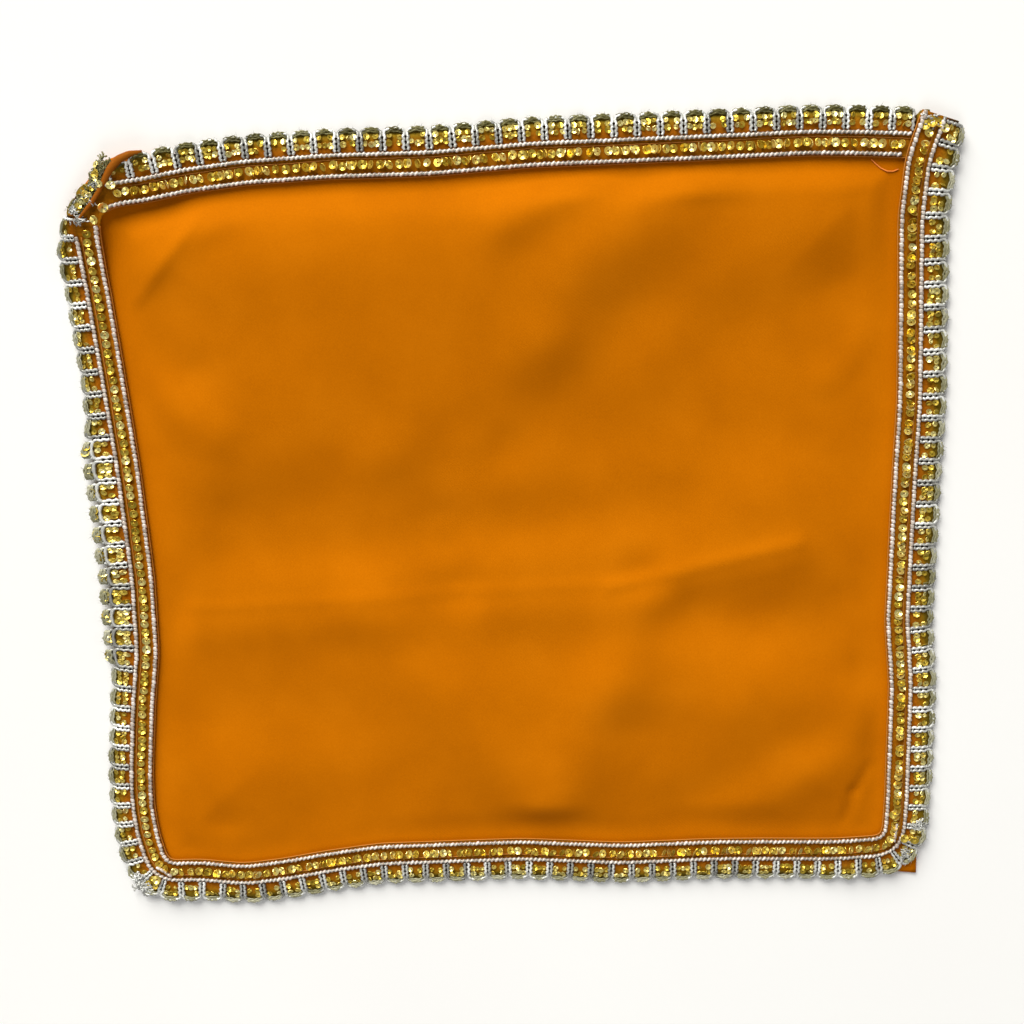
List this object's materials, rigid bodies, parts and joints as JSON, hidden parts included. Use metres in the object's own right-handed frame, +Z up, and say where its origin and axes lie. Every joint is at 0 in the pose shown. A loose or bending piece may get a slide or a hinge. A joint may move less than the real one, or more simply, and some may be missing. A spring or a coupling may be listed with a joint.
{
  "type": "thali cover",
  "caption": "Square satin cloth for covering an offering plate, lying in soft folds, with a scalloped gold and silver lace border sewn round its edge.",
  "frame": {"origin": "on the resting plane, under the middle of the cover's bounding box", "axes": "+Z up from the table, +X along the far and near edges to the right, +Y to the far edge"},
  "size_m": [0.3116, 0.2876, 0.009],
  "materials": {
    "satin": "orange satin weave, soft sheen",
    "tape": "orange woven lace ground",
    "silver_cord": "silver twisted cord",
    "gold_sequin": "gold metallised sequins"
  },
  "bodies": {
    "root": {"cloth_panel": "satin", "lace_tape": "tape", "inner_cord": "silver_cord", "outer_cord": "silver_cord", "scallop_cord": "silver_cord", "sequin_row": "gold_sequin"}
  },
  "joints": []
}
